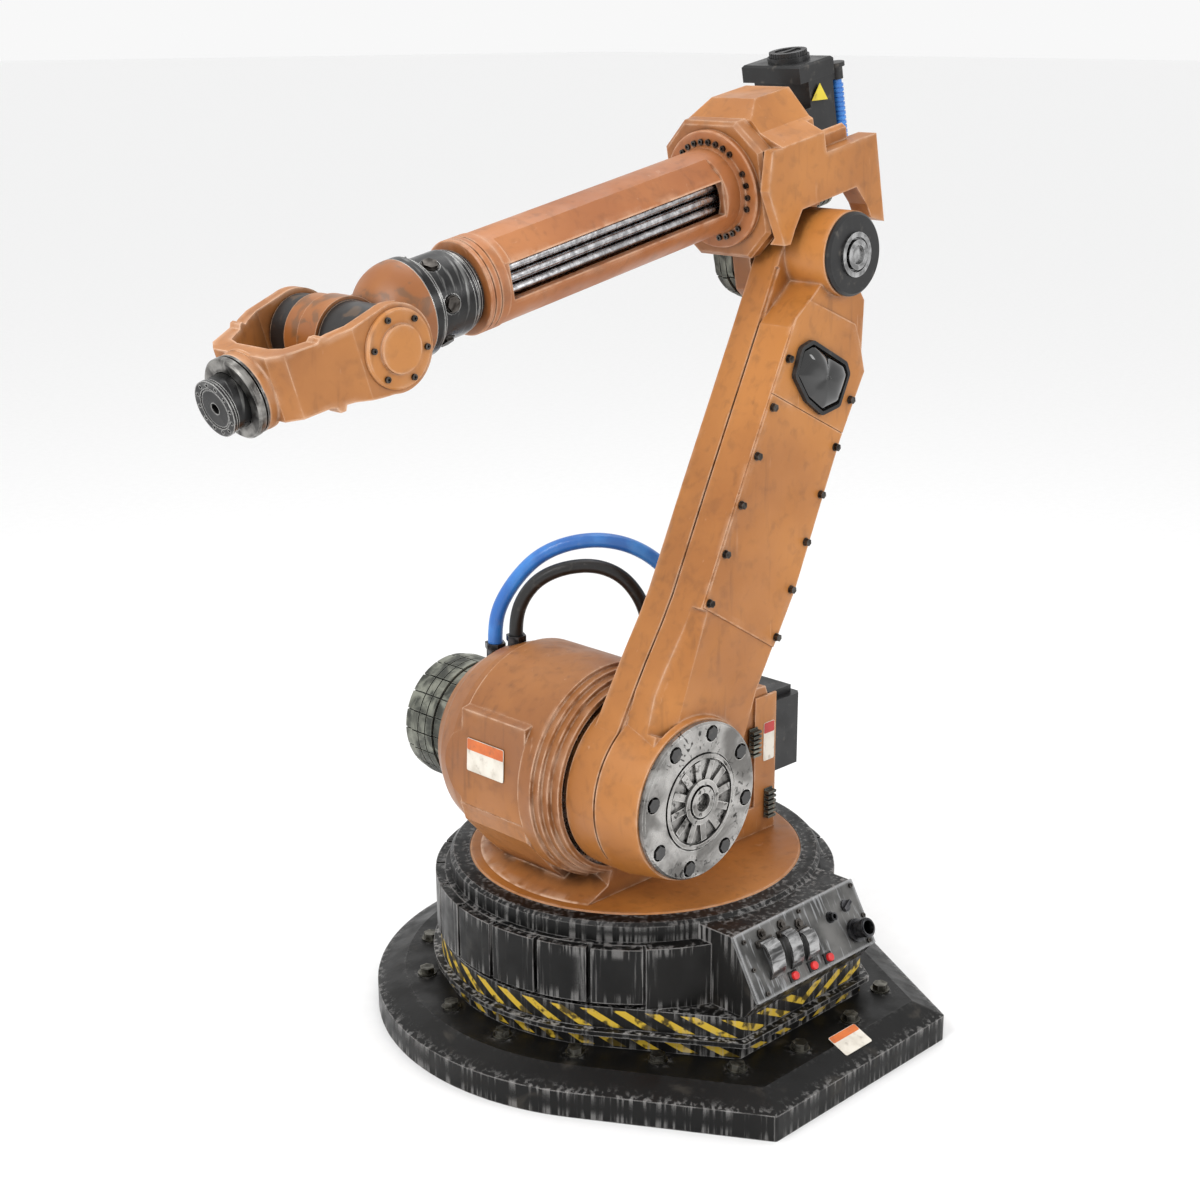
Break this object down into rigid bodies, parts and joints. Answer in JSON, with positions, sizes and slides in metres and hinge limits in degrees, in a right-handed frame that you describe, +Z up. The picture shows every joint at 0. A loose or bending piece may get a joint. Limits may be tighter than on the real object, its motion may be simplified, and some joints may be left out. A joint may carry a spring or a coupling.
{
  "type": "six-axis robot arm",
  "caption": "Floor-mounted six-axis articulated robot arm with turntable base, shoulder, side link, forearm and hinged wrist, plus a control panel with guarded push buttons.",
  "frame": {"origin": "on the floor, on the vertical axis of the turntable", "axes": "+X the way the arm reaches, +Y the side that carries the lower link, +Z up"},
  "size_m": [1.5549, 1.1319, 1.8979],
  "materials": {
    "orange_paint": "worn satin enamel",
    "forearm_paint": "worn satin enamel",
    "black_paint": "scuffed satin enamel",
    "steel": "zinc plated",
    "worn_steel": "worn",
    "panel_metal": "worn satin",
    "black_plastic": "matte",
    "spring_steel": "bright",
    "connector_metal": "dark plated",
    "motor_metal": "cast, weathered",
    "blue_hose": "smooth",
    "black_hose": "smooth",
    "seal_rubber": "matte",
    "window_black": "glossy",
    "hub_casting": "rough cast, oil stained",
    "wrist_metal": "satin with bright worn edges",
    "red_plastic": "satin",
    "guard_metal": "worn",
    "shaft_steel": "ground"
  },
  "bodies": {
    "base": {"base_plate": "black_paint", "base_bolts": "steel", "pedestal": "black_paint", "guard_blocks": "black_paint", "slew_ring": "black_paint", "control_panel": "panel_metal", "panel_screws": "steel", "button_bezels": "black_plastic", "button_springs": "spring_steel", "guard_brackets": "steel", "panel_connectors": "connector_metal"},
    "carousel": {"turntable": "orange_paint", "shoulder_housing": "orange_paint", "shoulder_bearing": "spring_steel", "shoulder_motor": "motor_metal", "slew_motor": "black_plastic", "motor_bracket": "orange_paint", "cooling_fins": "motor_metal", "hose_fittings": "connector_metal", "hose_blue": "blue_hose", "hose_black": "black_hose"},
    "lower_arm": {"link_arm": "orange_paint", "link_cover": "orange_paint", "cover_bolts": "steel", "window_gasket": "seal_rubber", "window_lens": "window_black", "hub_flange": "hub_casting", "hub_bolts": "worn_steel", "hub_rotor": "hub_casting", "elbow_disc": "black_plastic", "elbow_cap": "spring_steel"},
    "upper_arm": {"elbow_casting": "orange_paint", "mounting_plate": "orange_paint", "forearm_tube": "forearm_paint", "flange_screws": "steel", "forearm_ring": "forearm_paint", "connector_box": "black_plastic", "box_cap": "black_plastic", "conduit": "blue_hose", "conduit_fitting": "black_plastic", "elbow_motor": "motor_metal", "elbow_gearbox": "steel", "wrist_motors": "motor_metal"},
    "wrist_roll": {"wrist_barrel": "wrist_metal", "barrel_bolts": "steel", "wrist_housing": "orange_paint"},
    "wrist_bend": {"wrist_fork": "orange_paint", "pivot_caps": "orange_paint", "pivot_screws": "steel", "flange_ring": "worn_steel"},
    "tool_roll": {"tool_flange": "wrist_metal"},
    "button_1": {"push_button_1": "red_plastic"},
    "button_2": {"push_button_2": "red_plastic"},
    "button_3": {"push_button_3": "red_plastic"},
    "guard_1": {"button_guard_1": "guard_metal"},
    "guard_2": {"button_guard_2": "guard_metal"},
    "guard_3": {"button_guard_3": "guard_metal"},
    "shaft_1": {"drive_shaft_1": "shaft_steel"},
    "shaft_2": {"drive_shaft_2": "shaft_steel"},
    "shaft_3": {"drive_shaft_3": "shaft_steel"}
  },
  "joints": [
    {"name": "a1_turntable", "type": "hinge", "parent": "base", "child": "carousel", "pos_m": [0, 0, 0.324], "axis": [0, 0, 1], "range_deg": [-185, 185]},
    {"name": "a2_shoulder", "type": "hinge", "parent": "carousel", "child": "lower_arm", "pos_m": [0.1682, 0.15, 0.5585], "axis": [0, 1, 0], "range_deg": [-22, 60]},
    {"name": "a3_elbow", "type": "hinge", "parent": "lower_arm", "child": "upper_arm", "pos_m": [-0.2452, 0.15, 1.5297], "axis": [0, 1, 0], "range_deg": [-80, 5]},
    {"name": "a4_forearm_roll", "type": "hinge", "parent": "upper_arm", "child": "wrist_roll", "pos_m": [0.54332, 0.12, 1.52199], "axis": [0.981, 0, -0.1942], "range_deg": [-350, 350]},
    {"name": "a5_wrist_bend", "type": "hinge", "parent": "wrist_roll", "child": "wrist_bend", "pos_m": [0.78406, 0.12, 1.46617], "axis": [0, 1, 0], "range_deg": [-100, 100]},
    {"name": "a6_tool_roll", "type": "hinge", "parent": "wrist_bend", "child": "tool_roll", "pos_m": [0.97459, 0.12, 1.40536], "axis": [0.9527, 0, -0.304], "range_deg": [-350, 350]},
    {"name": "button_1_press", "type": "slide", "parent": "base", "child": "button_1", "axis": [0, -0.8693, -0.4942], "range_m": [0, 0.004], "stiffness_N_per_m": 400, "springref_m": -0.002},
    {"name": "button_2_press", "type": "slide", "parent": "base", "child": "button_2", "axis": [0, -0.8693, -0.4942], "range_m": [0, 0.004], "stiffness_N_per_m": 400, "springref_m": -0.002},
    {"name": "button_3_press", "type": "slide", "parent": "base", "child": "button_3", "axis": [0, -0.8693, -0.4942], "range_m": [0, 0.004], "stiffness_N_per_m": 400, "springref_m": -0.002},
    {"name": "guard_1_lift", "type": "hinge", "parent": "base", "child": "guard_1", "pos_m": [0.108, 0.44729, 0.28937], "axis": [1, 0, 0], "range_deg": [0, 75]},
    {"name": "guard_2_lift", "type": "hinge", "parent": "base", "child": "guard_2", "pos_m": [0.051, 0.44779, 0.28851], "axis": [1, 0, 0], "range_deg": [0, 75]},
    {"name": "guard_3_lift", "type": "hinge", "parent": "base", "child": "guard_3", "pos_m": [0.006, 0.45421, 0.2772], "axis": [1, 0, 0], "range_deg": [0, 75]},
    {"name": "shaft_1_spin", "type": "hinge", "parent": "upper_arm", "child": "shaft_1", "pos_m": [0.17935, 0.164, 1.61445], "axis": [0.981, 0, -0.1942], "range_deg": [-705, 705]},
    {"name": "shaft_2_spin", "type": "hinge", "parent": "upper_arm", "child": "shaft_2", "pos_m": [0.17546, 0.164, 1.59483], "axis": [0.981, 0, -0.1942], "range_deg": [-205, 205]},
    {"name": "shaft_3_spin", "type": "hinge", "parent": "upper_arm", "child": "shaft_3", "pos_m": [0.17158, 0.164, 1.57521], "axis": [0.981, 0, -0.1942], "range_deg": [-705, 705]}
  ],
  "couplings": [
    {"joint": "shaft_1_spin", "follows": "a4_forearm_roll", "ratio": 2},
    {"joint": "shaft_2_spin", "follows": "a5_wrist_bend", "ratio": 2},
    {"joint": "shaft_3_spin", "follows": "a6_tool_roll", "ratio": 2}
  ]
}
